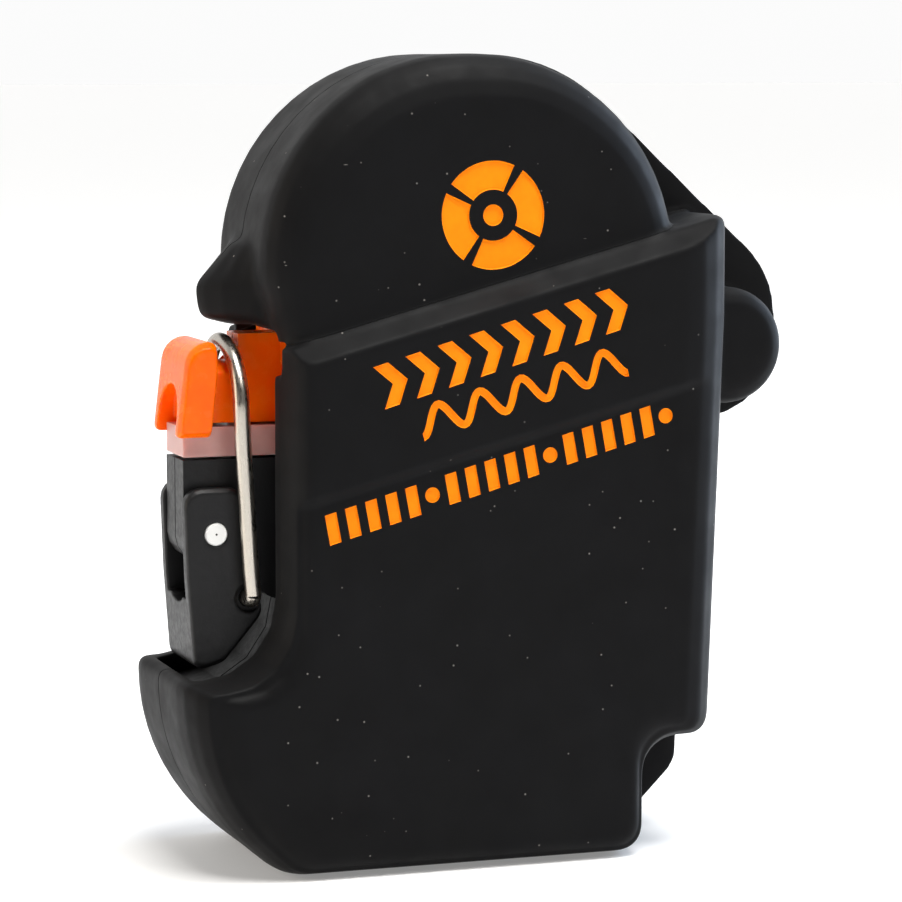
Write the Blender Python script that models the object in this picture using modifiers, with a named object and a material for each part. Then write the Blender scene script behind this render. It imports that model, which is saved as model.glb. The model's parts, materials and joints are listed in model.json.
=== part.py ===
"""Emergency position beacon: a latched two-part radio case inside a two-part silicone pouch.

The beacon stands on its flat base. +X runs towards the hinge, +Y towards the belt loop and
+Z up. The origin is on the base, on the plane where the front and back halves meet.
"""

import math

import bmesh
import bpy
from mathutils import Matrix, Vector

MM = 0.001

# Silhouette of the pouch
HEIGHT = 99.7
LEFT = -38.2
RIGHT_LOW, RIGHT_HIGH = 30.6, 32.6
DOME_R = 26.6
DOME_X = -0.8
DOME_FOOT = -25.6
FIN_X = 44.4
BASE_LEFT, BASE_RIGHT = -25.7, 20.9
BODY_FRONT, BODY_BACK = -17.0, 16.5
DOME_FRONT, DOME_BACK = -14.0, 13.5
RIM = 9.0

# Belt loop on the back
LOOP_SLOT, LOOP_THICK = 4.8, 2.6
LOOP_Z, LOOP_HALF = (20.0, 56.0), 13.0

# Hinge, and the slanted line where the pouch hood leaves the pouch body
HINGE = (34.4, 63.0)
SLANT = math.tan(math.radians(15.1))
SLANT_X, SLANT_Z = -26.4, 64.5
BOSS_R, BOSS_DEEP = 7.4, 9.2
PIN_R, PIN_HEAD = 1.45, 1.2
EYE_R = 9.9

# Walls and clearances
GAP = 0.3
RUNNING = 0.08
POUCH_WALL = 2.2
CASE_WALL = 1.8
CASE_AT = POUCH_WALL + GAP
INSIDE_AT = CASE_AT + CASE_WALL
SEAM = 0.15

# Latch side window
WINDOW_X, WINDOW_Z = -26.0, 24.4
WINDOW_CORNER = 9.6
WINDOW_HALF = 9.3
WINDOW_TOP = 66.3
RIDGE_X, RIDGE_HALF = -35.8, 4.0
CASE_TOP, GASKET_TALL = 50.5, 3.7
CAP_FOOT = CASE_TOP + GASKET_TALL + 2 * GAP

# Latch
PIVOT = (-32.3, 41.6)
LATCH_PIN_R = 1.4
BAIL_AT = (-28.2, 33.6)
LEVER_HALF, LEVER_TIP = 6.3, 24.75
WIRE_R = 1.0
BAIL_HALF = 8.0
BAIL_TOP = 65.7
ARCH_Z = BAIL_TOP - WIRE_R - BAIL_HALF
WIRE_DIP = math.dist(PIVOT, BAIL_AT) - (PIVOT[1] - BAIL_AT[1])

# Inside
CELL_R, CELL_LONG = 8.4, 34.2
CELL_Z = 6.6
CELLS_X = (-9.8, 7.6)
DECK = CASE_TOP + 0.9
CASE_SCREWS = ((-25.0, 15.0), (22.3, 23.0), (22.3, 46.5), (-18.9, 45.6))
FLAP_PIN_Y = 7.5
CAP_SCREWS = ((-16.0, 85.0), (14.0, 86.0))

MADE = bpy.data.collections.new("emergency_beacon")
CUTTERS = bpy.data.collections.new("cutters")


def clear_scene():
    for old in list(bpy.data.objects):
        bpy.data.objects.remove(old)
    bpy.context.scene.collection.children.link(MADE)
    bpy.context.scene.collection.children.link(CUTTERS)
    CUTTERS.hide_render = True


# Materials

def material(name, colour, rough, metal=0.0):
    made = bpy.data.materials.new(name)
    made.use_nodes = True
    shader = made.node_tree.nodes["Principled BSDF"]
    shader.inputs["Base Color"].default_value = (*colour, 1.0)
    shader.inputs["Roughness"].default_value = rough
    shader.inputs["Metallic"].default_value = metal
    made.diffuse_color = (*colour, 1.0)
    return made


SILICONE = material("silicone_black", (0.018, 0.018, 0.021), 0.72)
PLASTIC = material("plastic_black", (0.022, 0.022, 0.024), 0.5)
ORANGE = material("plastic_orange", (0.9, 0.13, 0.01), 0.3)
SEAL = material("seal_milky", (0.55, 0.36, 0.33), 0.45)
STEEL = material("steel", (0.62, 0.6, 0.57), 0.25, 1.0)
WHITE = material("nylon_white", (0.8, 0.8, 0.78), 0.45)
RED = material("button_red", (0.6, 0.02, 0.01), 0.45)
YELLOW = material("button_yellow", (0.8, 0.5, 0.02), 0.45)
CLEAR = material("lens_clear", (0.8, 0.82, 0.83), 0.12)
BOARD = material("board_green", (0.02, 0.16, 0.06), 0.5)
CHIP = material("chip_black", (0.03, 0.03, 0.03), 0.4)
CERAMIC = material("ceramic", (0.6, 0.55, 0.42), 0.5)
BRASS = material("contact_plated", (0.8, 0.68, 0.42), 0.3, 1.0)
CELL = material("cell_wrap", (0.05, 0.12, 0.3), 0.4)


# Outlines are closed lists of (x, z), anticlockwise seen from the front

def offset_corners(corners, inset):
    """Corners (x, z, radius, and points if many) moved in by inset, keeping their order."""
    count = len(corners)
    moved = []
    for i, (x, z, radius, *points) in enumerate(corners):
        before = Vector(corners[i - 1][:2])
        here = Vector((x, z))
        after = Vector(corners[(i + 1) % count][:2])
        a = (here - before).normalized()
        b = (after - here).normalized()
        turn = a.x * b.y - a.y * b.x
        na = Vector((-a.y, a.x))
        nb = Vector((-b.y, b.x))
        half = (na + nb).normalized()
        step = inset / max(half.dot(na), 0.2)
        r = radius - inset if turn > 0 else radius + inset
        p = here + half * step
        moved.append((p.x, p.y, max(r, 0.3), *points))
    return moved


def rounded(corners, segments=4):
    """The outline of rounded corners, each drawn with its own number of points if it has one.

    Where two corners would meet past each other on a short edge, both are made tighter.
    """
    count = len(corners)
    places = [Vector(corner[:2]) for corner in corners]
    sides = [(places[(i + 1) % count] - places[i]) for i in range(count)]
    halves = [(-sides[i - 1]).angle(sides[i]) / 2 for i in range(count)]
    reaches = [corner[2] / math.tan(half) for corner, half in zip(corners, halves)]
    fits = [
        min(1.0, 0.96 * sides[i].length / (reaches[i] + reaches[(i + 1) % count]))
        for i in range(count)
    ]
    points = []
    for i, (x, z, _, *own) in enumerate(corners):
        reach = reaches[i] * min(fits[i - 1], fits[i])
        radius = reach * math.tan(halves[i])
        a = -sides[i - 1].normalized()
        b = sides[i].normalized()
        middle = places[i] + (a + b).normalized() * (radius / math.sin(halves[i]))
        start = places[i] + a * reach - middle
        sweep = math.pi - 2 * halves[i]
        sign = 1 if b.x * a.y - b.y * a.x > 0 else -1
        steps = own[0] if own else segments
        for k in range(steps + 1):
            spun = Matrix.Rotation(sign * sweep * k / steps, 2) @ start
            points.append(tuple(middle + spun))
    return points


def blend(first, second, share):
    return [
        (a[0] + (b[0] - a[0]) * share, a[1] + (b[1] - a[1]) * share)
        for a, b in zip(first, second)
    ]


def circle(centre, radius, steps=32):
    return [
        (
            centre[0] + radius * math.cos(math.tau * k / steps),
            centre[1] + radius * math.sin(math.tau * k / steps),
        )
        for k in range(steps)
    ]


def box_outline(x0, z0, x1, z1):
    return [(x0, z0), (x1, z0), (x1, z1), (x0, z1)]


# Solids

def new_object(name, mesh, look, group=MADE):
    made = bpy.data.objects.new(name, mesh)
    group.objects.link(made)
    if look:
        mesh.materials.append(look)
    if group is CUTTERS:
        made.hide_render = True
        made.display_type = "WIRE"
    return made


def loft(name, sections, look=None, group=MADE):
    """A closed solid through (outline, y) sections with equal numbers of points."""
    body = bmesh.new()
    rings = [
        [body.verts.new((x * MM, y * MM, z * MM)) for x, z in outline]
        for outline, y in sections
    ]
    count = len(rings[0])
    for low, high in zip(rings, rings[1:]):
        for k in range(count):
            m = (k + 1) % count
            body.faces.new((low[k], low[m], high[m], high[k]))
    if len(sections) > 2:
        bmesh.ops.triangulate(body, faces=body.faces[:])
    body.faces.new(rings[0])
    body.faces.new(rings[-1][::-1])
    return finished(name, body, look, group)


def finished(name, body, look, group):
    """Turns every face outwards and makes the object."""
    bmesh.ops.recalc_face_normals(body, faces=body.faces[:])
    if body.calc_volume(signed=True) < 0:
        bmesh.ops.reverse_faces(body, faces=body.faces[:])
    mesh = bpy.data.meshes.new(name)
    body.to_mesh(mesh)
    body.free()
    return new_object(name, mesh, look, group)


def prism(name, outline, y0, y1, look=None, group=MADE):
    return loft(name, [(outline, y0), (outline, y1)], look, group)


def block(name, low, high, look=None, group=MADE, round_by=0.0):
    """A box between two corners in millimetres, its upright or all edges rounded."""
    body = bmesh.new()
    bmesh.ops.create_cube(body, size=1.0)
    size = [(b - a) * MM for a, b in zip(low, high)]
    middle = [(a + b) / 2 * MM for a, b in zip(low, high)]
    bmesh.ops.scale(body, vec=size, verts=body.verts)
    if round_by:
        bmesh.ops.bevel(
            body, geom=body.edges[:], offset=round_by * MM, segments=2, profile=0.5,
            affect="EDGES",
        )
    mesh = bpy.data.meshes.new(name)
    body.to_mesh(mesh)
    body.free()
    made = new_object(name, mesh, look, group)
    made.location = middle
    return made


def turned(name, axis, profile, look=None, group=MADE, steps=28, at=(0, 0, 0)):
    """A solid of revolution. The profile is (radius, height) from top to bottom."""
    mesh = bpy.data.meshes.new(name)
    points = [(r * MM, 0.0, h * MM) for r, h in profile]
    edges = [(i, i + 1) for i in range(len(points) - 1)]
    if profile[0] == profile[-1]:
        points.pop()
        edges[-1] = (len(points) - 1, 0)
    mesh.from_pydata(points, edges, [])
    made = new_object(name, mesh, look, group)
    screw = made.modifiers.new("turn", "SCREW")
    screw.steps = steps
    screw.render_steps = steps
    screw.use_merge_vertices = True
    screw.merge_threshold = 0.00001
    if axis == "Y":
        made.rotation_euler = (math.radians(-90), 0.0, 0.0)
    made.location = [c * MM for c in at]
    return made


def rod(name, radius, length, at, axis="Y", look=None, group=MADE, steps=28):
    """A plain cylinder starting at a point and running along +Y or +Z."""
    return turned(
        name, axis, [(0, length), (radius, length), (radius, 0), (0, 0)],
        look, group, steps, at,
    )


def combine(target, other, operation):
    change = target.modifiers.new(operation.lower(), "BOOLEAN")
    change.solver = "EXACT"
    change.operation = operation
    change.object = other
    return target


def cut(target, *others):
    for other in others:
        combine(target, other, "DIFFERENCE")
    return target


def join(target, *others):
    for other in others:
        combine(target, other, "UNION")
    return target


# Outlines of the pouch. Every other shell is one of these moved in.

def slant(x, lift=0.0):
    return SLANT_Z + (x - SLANT_X) * SLANT + lift / math.cos(math.atan(SLANT))


TURN_R = (slant(HINGE[0]) - HINGE[1]) * math.cos(math.atan(SLANT))
TURN_FROM = math.pi / 2 + math.atan(SLANT)
EYE_FROM = math.radians(126.0)
ROOF = slant(RIGHT_HIGH) - 0.5

LEFT_SIDE = [
    (WINDOW_X, slant(WINDOW_X) + 8.0, 0.8),
    (WINDOW_X, WINDOW_Z, WINDOW_CORNER),
    (LEFT, WINDOW_Z, 1.2),
    (LEFT, 10.5, 28.6, 9),
    (BASE_LEFT, 0.0, 5.0),
]
LEFT_FACE = [
    (WINDOW_X + 3.2, slant(WINDOW_X) + 5.0, 0.8),
    (WINDOW_X + 3.2, WINDOW_Z - 2.4, WINDOW_CORNER + 2.0),
    (LEFT + 6.5, WINDOW_Z - 2.4, 2.0),
    (LEFT + 6.5, 11.5, 22.0, 9),
    (BASE_LEFT + 2.5, 2.4, 4.0),
]
FRONT_RIM = LEFT_SIDE + [
    (BASE_RIGHT, 0.0, 3.0),
    (BASE_RIGHT, 14.1, 5.0),
    (RIGHT_LOW, 14.1, 2.6),
    (RIGHT_HIGH, 67.0, 60.0, 2),
    (RIGHT_HIGH, ROOF, 1.2),
]
FRONT_FACE = LEFT_FACE + [
    (BASE_RIGHT - 2.4, 2.4, 2.5),
    (BASE_RIGHT - 2.4, 17.6, 7.0),
    (RIGHT_LOW - 7.5, 17.6, 0.6),
    (RIGHT_HIGH - 7.5, 67.0, 60.0, 2),
    (RIGHT_HIGH - 7.5, ROOF - 1.0, 1.2),
]
BACK_RIM = LEFT_SIDE + [
    (22.6, 0.0, 4.0),
    (31.0, 8.4, 4.0),
    (RIGHT_HIGH, 67.0, 60.0, 2),
    (RIGHT_HIGH, ROOF, 1.2),
]
BACK_FACE = LEFT_FACE + [
    (19.4, 2.4, 3.0),
    (24.0, 8.4, 3.2),
    (RIGHT_HIGH - 7.5, 67.0, 60.0, 2),
    (RIGHT_HIGH - 7.5, ROOF - 1.0, 1.2),
]
DOME_RIM = [
    (DOME_FOOT, 66.0, 4.0),
    (DOME_FOOT, 45.0, 2.0),
    (DOME_X + DOME_R, 45.0, 2.0),
    (DOME_X + DOME_R, HEIGHT, DOME_R - 0.05, 14),
    (DOME_X - DOME_R, HEIGHT, DOME_R - 0.05, 14),
    (DOME_X - DOME_R, 72.5, 6.0),
]
DOME_FACE = [
    (DOME_FOOT + 5.4, 66.0, 4.0),
    (DOME_FOOT + 5.4, 48.0, 2.0),
    (DOME_X + DOME_R - 4.6, 48.0, 2.0),
    (DOME_X + DOME_R - 4.6, HEIGHT - 7.4, DOME_R - 6.2, 14),
    (DOME_X - DOME_R + 6.6, HEIGHT - 7.4, DOME_R - 6.2, 14),
    (DOME_X - DOME_R + 6.6, 72.0, 0.6),
]
FIN_RIM = [
    (DOME_FOOT, 66.0, 4.0),
    (DOME_FOOT, 45.0, 2.0),
    (HINGE[0] - 12.0, HINGE[1] - EYE_R, 0.6),
    (FIN_X, HINGE[1] - EYE_R, EYE_R - 0.2),
    (FIN_X, 71.3, 12.0),
    (13.9, HEIGHT, 23.5, 9),
    (DOME_X - DOME_R, HEIGHT, DOME_R - 0.1, 14),
    (DOME_X - DOME_R, 72.5, 6.0),
]
FIN_TOP = RIM
SUNK = 0.03
WEB = 1.2
WEB_HUB = 6.4


def half_shape(name, rim, face, side, face_y, inset, over=SEAM, look=None, group=CUTTERS):
    """Half of a shell: upright at the rim, rolling over to a smaller flat face."""
    outer = rounded(offset_corners(rim, inset))
    inner = rounded(offset_corners(face, inset * 0.55))
    flat = abs(face_y) - inset
    start = RIM - inset * 0.45
    sections = [(outer, side * over)]
    for step in range(6):
        angle = step * math.pi / 10
        share = 1 - math.cos(angle)
        y = start + (flat - start) * math.sin(angle)
        sections.append((blend(outer, inner, share), side * y))
    return loft(name, sections, look, group)


def split_outline(part, turn_r, eye_r=None, lift=0.0, far=70.0):
    """The outline of everything on the body's side of a parting.

    The parting runs in from the left, slanted (part None) or level at a height, meets a
    circle round the hinge, and follows it. With eye_r it turns in to a smaller circle,
    because there the moving half reaches the hinge.
    """
    hx, hz = HINGE
    turn_from = TURN_FROM
    if eye_r:
        turn_from = EYE_FROM - lift / turn_r
    points = [(-far, slant(-far, lift) if part is None else part)]
    if part is None and eye_r:
        reach = turn_r / math.cos(turn_from - TURN_FROM)
        points.append(around_hinge(reach, turn_from))
    else:
        start = turn_from if part is None else math.pi + math.asin((hz - part) / turn_r)
        stop = turn_from if eye_r else 0.0
        for k in range(15):
            points.append(around_hinge(turn_r, start + (stop - start) * k / 14))
    if eye_r:
        for k in range(19):
            points.append(around_hinge(eye_r, turn_from + (1.5 * math.pi - turn_from) * k / 18))
        points.append((hx, -20.0))
    else:
        points.append((hx + turn_r, -20.0))
    points.append((-far, -20.0))
    return points[::-1]


def around_hinge(radius, angle):
    return (HINGE[0] + radius * math.cos(angle), HINGE[1] + radius * math.sin(angle))


def upper_outline(lower, right=80.0, top=130.0):
    """The rest of a large rectangle, above a lower outline that starts at its foot."""
    path = lower[::-1][:-1]
    foot = path[-1]
    return [(right, foot[1]), (right, top), (path[0][0], top)] + path


# Pouch

def pouch_body(side):
    front = side < 0
    name = "pouch_body_front" if front else "pouch_body_back"
    rim, face = (FRONT_RIM, FRONT_FACE) if front else (BACK_RIM, BACK_FACE)
    flat = BODY_FRONT if front else BODY_BACK
    shell = half_shape(name, rim, face, side, flat, 0.0, look=SILICONE, group=MADE)
    hollow = half_shape(name + "_hollow", rim, face, side, flat, POUCH_WALL, over=-2.0)
    hx, hz = HINGE
    if front:
        boss = turned(
            "hinge_boss", "Y",
            [(0, -SEAM), (BOSS_R, -SEAM), (BOSS_R, 2 - BOSS_DEEP), (BOSS_R - 0.6, 0.9 - BOSS_DEEP),
             (BOSS_R - 1.9, 0.1 - BOSS_DEEP), (BOSS_R - 3.2, -BOSS_DEEP), (0, -BOSS_DEEP)],
            group=CUTTERS, steps=36, at=(hx, 0, hz),
        )
        join(shell, boss)
        pocket = rod(
            "hinge_boss_pocket", BOSS_R - POUCH_WALL, BOSS_DEEP - POUCH_WALL + 2,
            (hx, POUCH_WALL - BOSS_DEEP, hz), group=CUTTERS,
        )
        cut(hollow, ledge_lip())
        cut(shell, hollow, pocket)
    else:
        for bar in belt_loop_bars():
            join(shell, bar)
        cut(shell, hollow)
        join(shell, notch_web(name + "_web", 1.0, POUCH_WALL, SEAM + SUNK, SEAM + WEB))
    mouth = upper_outline(split_outline(None, TURN_R - SEAM, None if front else EYE_R + GAP, -SEAM))
    cut(shell, prism(name + "_mouth", mouth, side * 60, side * -4, group=CUTTERS))
    cut(shell, window_cutter(name + "_window", side))
    cut(shell, roof_cutter(name + "_roof", side))
    if front:
        cut(shell, ledge_cutter())
    return shell


def belt_loop_bars():
    """A strap loop standing off the back: two feet and a plate, with a slot for webbing."""
    out = BODY_BACK + LOOP_SLOT
    low, high, half = LOOP_Z[0], LOOP_Z[1], LOOP_HALF
    bar = block(
        "belt_bar", (-half, out, low), (half, out + LOOP_THICK, high), group=CUTTERS, round_by=1.0
    )
    feet = [
        block(
            f"belt_foot_{z:.0f}", (-half, BODY_BACK - 1.0, z), (half, out + 1.4, z + 5.0),
            group=CUTTERS, round_by=0.6,
        )
        for z in (low, high - 5.0)
    ]
    return [bar] + feet


def window_cutter(name, side, top=74.0):
    """The side window: it leaves the thin lip at the foot and the rolled edges."""
    outline = rounded([
        (LEFT + POUCH_WALL, 20.4, 1.0),
        (-23.2, 20.4, 3.0),
        (-23.2, top, 1.0),
        (LEFT - 6.0, top, 1.0),
        (LEFT - 6.0, 31.0, 1.0),
        (LEFT + POUCH_WALL, 31.0, 1.0),
    ])
    return prism(name, outline, side * WINDOW_HALF, side * -4, group=CUTTERS)


def ledge_cutter():
    """Slopes the top of the thicker front down to the thinner dome."""
    far = 60.0
    sections = []
    for y in (DOME_FRONT, BODY_FRONT - 2.0):
        drop = (DOME_FRONT - y) * 0.75
        outline = [
            (-far, slant(-far, -SEAM - drop)), (far, slant(far, -SEAM - drop)),
            (far, 140.0), (-far, 140.0),
        ]
        sections.append((outline, y))
    return loft("ledge", sections, group=CUTTERS)


def ledge_lip():
    """What the hollow leaves behind the top of the ledge, so that its edge reaches the hood."""
    left, right = -40.0, 20.5
    foot, head = -3.4, 6.0
    outline = [
        (left, slant(left, foot)), (right, slant(right, foot)),
        (right, slant(right, head)), (left, slant(left, head)),
    ]
    return prism("ledge_lip", outline, BODY_FRONT - 1.0, DOME_FRONT + POUCH_WALL, group=CUTTERS)


def notch_web(name, inset, front_inset, y0, y1):
    """A thin wall that closes the back half beside the notch, where it outreaches the front."""
    web = prism(name, rounded(offset_corners(BACK_RIM, inset)), y0, y1, group=CUTTERS)
    corner = box_outline(14.0, -5.0, 60.0, 19.0)
    combine(web, prism(name + "_corner", corner, y0 - 1, y1 + 1, group=CUTTERS), "INTERSECT")
    front = rounded(offset_corners(FRONT_RIM, front_inset))
    return cut(web, prism(name + "_front", front, y0 - 2, y1 + 2, group=CUTTERS))


def fin_web(name, inset, dome_inset, hub, y0, y1):
    """The thin front wall of the fin, from the dome's edge outward, with a hole at the hinge."""
    web = prism(name, rounded(offset_corners(FIN_RIM, inset), 5), y0, y1, group=CUTTERS)
    right = box_outline(16.0, 40.0, 80.0, 120.0)
    combine(web, prism(name + "_right", right, y0 - 1, y1 + 1, group=CUTTERS), "INTERSECT")
    dome = rounded(offset_corners(DOME_RIM, dome_inset))
    hole = rod(name + "_hub", hub, y1 - y0 + 4, (HINGE[0], y0 - 2, HINGE[1]), group=CUTTERS)
    return cut(web, prism(name + "_dome", dome, y0 - 2, y1 + 2, group=CUTTERS), hole)


def roof_cutter(name, side):
    """The mouth through the roof, just beyond the dome's right side."""
    flat = DOME_FRONT if side < 0 else DOME_BACK
    edge = roof_edge(side)
    outline = [(-30.0, 60.0), (edge, 74.0), (edge, 90.0), (-30.0, 90.0)]
    return prism(name, outline, side * (abs(flat) - POUCH_WALL), side * -4, group=CUTTERS)


def roof_edge(side):
    return DOME_X + DOME_R - POUCH_WALL + (0.0 if side < 0 else 1.5)


def dome_half(name, side, inset, look):
    """Half of the dome. The back half also carries the fin that reaches the hinge."""
    if side < 0:
        return half_shape(
            name, DOME_RIM, DOME_FACE, side, DOME_FRONT, inset, look=look, group=MADE
        )
    fin = rounded(offset_corners(FIN_RIM, inset), 5)
    shell = prism(name, fin, SEAM, FIN_TOP - inset, look)
    raised = half_shape(
        name + "_raised", DOME_RIM, DOME_FACE, side, DOME_BACK, inset + SUNK, over=1.0
    )
    return join(shell, raised)


def pouch_hood(side):
    front = side < 0
    name = "pouch_hood_front" if front else "pouch_hood_back"
    flat = DOME_FRONT if front else DOME_BACK
    shell = dome_half(name, side, 0.0, SILICONE)
    hollow = half_shape(
        name + "_hollow", DOME_RIM, DOME_FACE, side, flat, POUCH_WALL + SUNK, over=-2.0
    )
    cut(shell, hollow)
    if not front:
        pocket = rounded(offset_corners(FIN_RIM, POUCH_WALL), 5)
        cut(shell, prism("fin_pocket", pocket, -3.0, FIN_TOP - POUCH_WALL, group=CUTTERS))
        dome_inset = POUCH_WALL + 2 * SUNK
        join(shell, fin_web("hood_web", 1.0, dome_inset, WEB_HUB, SEAM + SUNK, SEAM + WEB))
    cut(shell, window_cutter(name + "_window", side, WINDOW_TOP))
    join(shell, thumb_tab(side))
    below = split_outline(None, TURN_R + SEAM, None if front else EYE_R, SEAM)
    cut(shell, prism(name + "_below", below, side * 60, side * -4, group=CUTTERS))
    return shell


def thumb_tab(side):
    """The beak above the latch: a thin ridge on the seam that widens into the dome."""
    tip = rounded([
        (-25.6, 67.0, 0.4), (-25.6, 78.0, 0.4), (-28.6, 76.6, 2.0), (-33.2, 71.6, 2.2),
        (-32.6, 67.6, 1.6), (-29.0, 66.7, 3.0),
    ][::-1], 3)
    root = rounded([
        (-25.6, 67.0, 0.4), (-25.6, 77.4, 0.4), (-26.2, 76.6, 0.4), (-27.4, 72.0, 1.5),
        (-27.2, 68.2, 1.2), (-26.3, 67.1, 0.5),
    ][::-1], 3)
    sections = [
        (tip, side * SEAM), (blend(tip, root, 0.1), side * 1.6),
        (blend(tip, root, 0.38), side * 3.8), (blend(tip, root, 0.72), side * 5.6),
        (root, side * 7.2),
    ]
    return loft(f"thumb_tab_{'front' if side < 0 else 'back'}", sections, group=CUTTERS)


# Radio case

def screw_posts(shell, side, places, reach, tag):
    for i, (x, z) in enumerate(places):
        start = -reach if side < 0 else SEAM
        post = rod(
            f"{tag}_post_{side}_{i}", 2.5, reach - SEAM, (x, start, z), group=CUTTERS, steps=16
        )
        join(shell, post)
    for i, (x, z) in enumerate(places):
        if side < 0:
            hole = rod(f"{tag}_thread_{i}", 1.3, 8.0, (x, -7.0, z), group=CUTTERS, steps=16)
        else:
            hole = turned(
                f"{tag}_bore_{i}", "Y",
                [(0, 30), (2.4, 30), (2.4, reach - 3.0), (1.3, reach - 3.0), (1.3, -1), (0, -1)],
                group=CUTTERS, steps=16, at=(x, 0, z),
            )
        cut(shell, hole)


def case_shell(side):
    front = side < 0
    name = "case_front_shell" if front else "case_back_shell"
    rim, face = (FRONT_RIM, FRONT_FACE) if front else (BACK_RIM, BACK_FACE)
    flat = BODY_FRONT if front else BODY_BACK
    shell = half_shape(name, rim, face, side, flat, CASE_AT, look=PLASTIC, group=MADE)
    hx, hz = HINGE
    if front:
        neck = block("knuckle_neck", (hx - 8.0, -6.4, hz - 1.5), (hx, -0.4, hz + 1.5), group=CUTTERS)
        join(shell, rod("knuckle", BOSS_R - CASE_AT, 6.0, (hx, -6.4, hz), group=CUTTERS), neck)
    cut(shell, case_hollow(name, rim, face, side, flat))
    if not front:
        behind = SEAM + WEB + GAP
        join(shell, notch_web(
            "case_web", CASE_AT + 1.0, INSIDE_AT + SUNK, SEAM + SUNK, behind + CASE_WALL,
        ))
        cut(shell, notch_web("case_web_relief", 0.0, CASE_AT - SUNK, -1.0, behind))
    join(shell, ridge(side))
    screw_posts(shell, side, CASE_SCREWS, abs(flat) - CASE_AT - 0.6, "case")
    eye = None if front else EYE_R + GAP
    above = upper_outline(split_outline(CASE_TOP, TURN_R - CASE_AT, eye))
    cut(shell, prism(name + "_above", above, side * 60, side * -4, group=CUTTERS))
    if front:
        cut(shell, rod("pin_seat", PIN_R + 0.1, 8.0, (hx, -5.4, hz), group=CUTTERS))
    seat = rod(
        f"latch_pin_seat_{name}", LATCH_PIN_R + 0.06, 14.0, (PIVOT[0], -7, PIVOT[1]), group=CUTTERS
    )
    cut(shell, seat)
    return shell


def case_hollow(name, rim, face, side, flat):
    """The cavity stops below the hinge tower, which is solid."""
    hollow = half_shape(name + "_hollow", rim, face, side, flat, INSIDE_AT, over=-2.0)
    floor = box_outline(-60.0, -20.0, 60.0, CASE_TOP + 2.0)
    keep = prism(name + "_tower", floor, side * 60, side * -4, group=CUTTERS)
    return combine(hollow, keep, "INTERSECT")


def ridge(side):
    """The spine in the window that carries the latch pin, with a rounded lug below it."""
    outline = rounded([
        (-22.6, CASE_TOP + 5.0, 0.3), (RIDGE_X, CASE_TOP + 5.0, 0.3),
        (RIDGE_X, 37.6, 3.3), (-29.6, 37.6, 1.0), (-24.8, 33.0, 3.0), (-22.6, 33.0, 0.3),
    ])
    low, high = sorted((side * SEAM, side * RIDGE_HALF))
    return prism(f"ridge_{side}", outline, low, high, group=CUTTERS)


def gasket():
    """The seal between case and cap, one ring that follows the case and its spine."""
    low, high = CASE_TOP + GAP, CASE_TOP + GAP + GASKET_TALL
    right = HINGE[0] - TURN_R + CASE_AT - 2.4
    deep = abs(DOME_FRONT) - CASE_AT
    half = [
        (RIDGE_X, 0.0), (RIDGE_X, -RIDGE_HALF), (-23.4, -RIDGE_HALF), (-23.4, -7.0),
        (-20.4, -deep), (right - 2.0, -deep), (right, -deep + 2.0), (right, 0.0),
    ]
    outline = half + [(x, -y) for x, y in half[1:-1][::-1]]
    inner = [
        (-20.6, -6.6), (-18.9, -deep + 2.0), (right - 3.0, -deep + 2.0),
        (right - 2.0, -deep + 3.2), (right - 2.0, deep - 3.2), (right - 3.0, deep - 2.0),
        (-18.9, deep - 2.0), (-20.6, 6.6),
    ]
    ring = plan_prism("gasket", outline, low, high, SEAL)
    return cut(ring, plan_prism("gasket_hole", inner, low - 2, high + 2, None, CUTTERS))


def plan_prism(name, outline, z0, z1, look=None, group=MADE):
    """A prism standing on z, from an outline of (x, y) in plan."""
    body = bmesh.new()
    rings = [
        [body.verts.new((x * MM, y * MM, z * MM)) for x, y in outline] for z in (z0, z1)
    ]
    count = len(outline)
    for k in range(count):
        m = (k + 1) % count
        body.faces.new((rings[0][k], rings[0][m], rings[1][m], rings[1][k]))
    body.faces.new(rings[0][::-1])
    body.faces.new(rings[1])
    return finished(name, body, look, group)


# Cap

def cap_shell(side):
    front = side < 0
    name = "cap_front_shell" if front else "cap_back_shell"
    flat = DOME_FRONT if front else DOME_BACK
    shell = dome_half(name, side, CASE_AT, ORANGE)
    hollow = half_shape(name + "_hollow", DOME_RIM, DOME_FACE, side, flat, INSIDE_AT, over=-2.0)
    cut(shell, hollow)
    join(shell, prism(f"cap_spine_{side}", spine_outline(), *sorted((side * SEAM, side * 2.6)),
                      group=CUTTERS))
    screw_posts(shell, side, CAP_SCREWS, abs(flat) - CASE_AT - 0.6, "cap")
    edge = roof_edge(-1)
    sweep = math.dist(HINGE, (edge, slant(edge))) + SEAM
    below = split_outline(
        CAP_FOOT, sweep if front else TURN_R + 0.5, None if front else EYE_R - 2.5, CASE_AT
    )
    cut(shell, prism(name + "_below", below, side * 60, side * -4, group=CUTTERS))
    if not front:
        relief = fin_web(
            "cap_web_relief", 0.0, CASE_AT - SUNK, WEB_HUB - GAP, -1.0, SEAM + WEB + GAP
        )
        cut(shell, relief, hinge_bore())
    return shell


def spine_outline():
    """The narrow rib down the latch side of the cap, behind the wire."""
    return box_outline(-28.4, CAP_FOOT - 3.0, -21.6, WINDOW_TOP - 0.6)


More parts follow.
